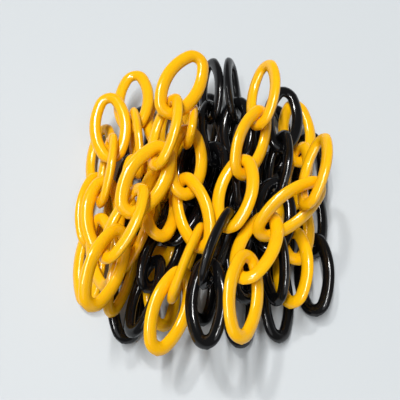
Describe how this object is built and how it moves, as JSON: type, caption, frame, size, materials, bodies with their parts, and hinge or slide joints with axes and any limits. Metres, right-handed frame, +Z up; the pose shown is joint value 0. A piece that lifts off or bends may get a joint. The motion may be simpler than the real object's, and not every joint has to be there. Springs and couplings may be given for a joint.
{
  "type": "heap of plastic chain",
  "caption": "Loose heap of plastic barrier chain with yellow and black oval links, laid in overlapping strands.",
  "frame": {"origin": "middle of the underside of the heap's box, on the ground that it lies on", "axes": "+Z up; +Y away from the viewer of the picture, along the strands; +X to the viewer's right"},
  "size_m": [0.2008, 0.2456, 0.088],
  "materials": {
    "yellow_plastic": "glossy moulded polyethylene",
    "black_plastic": "glossy moulded polyethylene"
  },
  "bodies": {
    "root": {"black_link_01": "black_plastic", "black_link_02": "black_plastic", "black_link_03": "black_plastic", "black_link_04": "black_plastic", "black_link_05": "black_plastic", "black_link_06": "black_plastic", "black_link_07": "black_plastic", "black_link_08": "black_plastic", "black_link_09": "black_plastic", "black_link_10": "black_plastic", "black_link_11": "black_plastic", "black_link_12": "black_plastic", "black_link_13": "black_plastic", "black_link_14": "black_plastic", "black_link_15": "black_plastic", "black_link_16": "black_plastic", "black_link_17": "black_plastic", "black_link_18": "black_plastic", "lower_strand_1": "yellow_plastic", "lower_strand_2": "black_plastic", "lower_strand_3": "yellow_plastic", "lower_strand_4": "black_plastic", "lower_strand_5": "black_plastic", "lower_strand_6": "black_plastic", "lower_strand_7": "black_plastic", "yellow_link_01": "yellow_plastic", "yellow_link_02": "yellow_plastic", "yellow_link_03": "yellow_plastic", "yellow_link_04": "yellow_plastic", "yellow_link_05": "yellow_plastic", "yellow_link_06": "yellow_plastic", "yellow_link_07": "yellow_plastic", "yellow_link_08": "yellow_plastic", "yellow_link_09": "yellow_plastic", "yellow_link_10": "yellow_plastic", "yellow_link_11": "yellow_plastic", "yellow_link_12": "yellow_plastic", "yellow_link_13": "yellow_plastic", "yellow_link_14": "yellow_plastic", "yellow_link_15": "yellow_plastic", "yellow_link_16": "yellow_plastic", "yellow_link_17": "yellow_plastic", "yellow_link_18": "yellow_plastic", "yellow_link_19": "yellow_plastic", "yellow_link_20": "yellow_plastic", "yellow_link_21": "yellow_plastic", "yellow_link_22": "yellow_plastic", "yellow_link_23": "yellow_plastic", "yellow_link_24": "yellow_plastic", "yellow_link_25": "yellow_plastic", "yellow_link_26": "yellow_plastic", "yellow_link_27": "yellow_plastic", "yellow_link_28": "yellow_plastic", "yellow_link_29": "yellow_plastic", "yellow_link_30": "yellow_plastic", "yellow_link_31": "yellow_plastic", "yellow_link_32": "yellow_plastic", "yellow_link_33": "yellow_plastic"}
  },
  "joints": []
}
